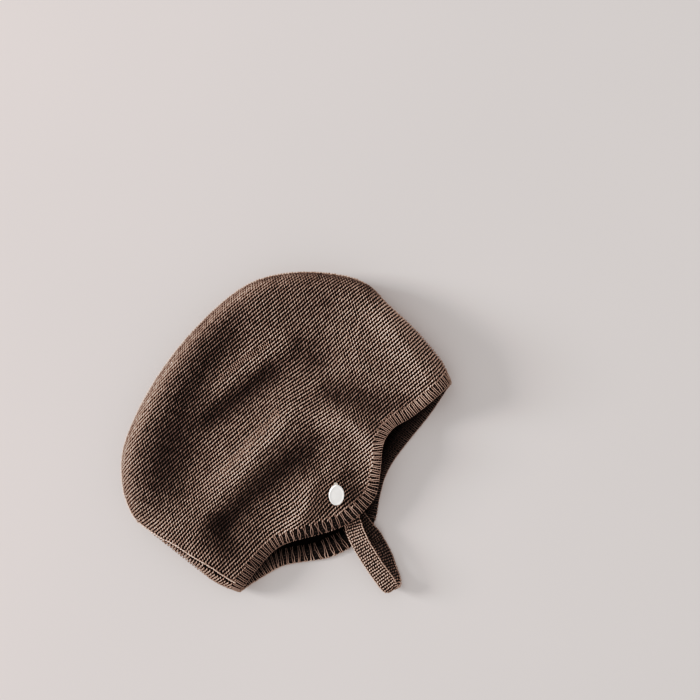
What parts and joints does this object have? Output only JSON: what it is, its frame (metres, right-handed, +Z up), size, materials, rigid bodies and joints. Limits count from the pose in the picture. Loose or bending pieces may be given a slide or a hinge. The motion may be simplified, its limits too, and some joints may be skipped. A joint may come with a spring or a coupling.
{
  "type": "baby bonnet",
  "caption": "Knitted baby bonnet with ear flaps, a ribbed edging, a knitted chin strap and an oval button, lying folded on its side.",
  "frame": {"origin": "on the flat face of the lower layer that rests on the table, near the middle of the cap", "axes": "+X towards the brow (the wearer's forward), +Y towards the crown (the wearer's up), +Z up from the table through both folded layers"},
  "size_m": [0.1778, 0.1757, 0.0246],
  "materials": {
    "knit": "matte garter-knit yarn",
    "rib_knit": "matte ribbed yarn",
    "strap_knit": "matte knitted yarn",
    "pearl": "pearl gloss"
  },
  "bodies": {
    "root": {"cap": "knit", "edging": "rib_knit", "chin_strap": "strap_knit", "button": "pearl"}
  },
  "joints": []
}
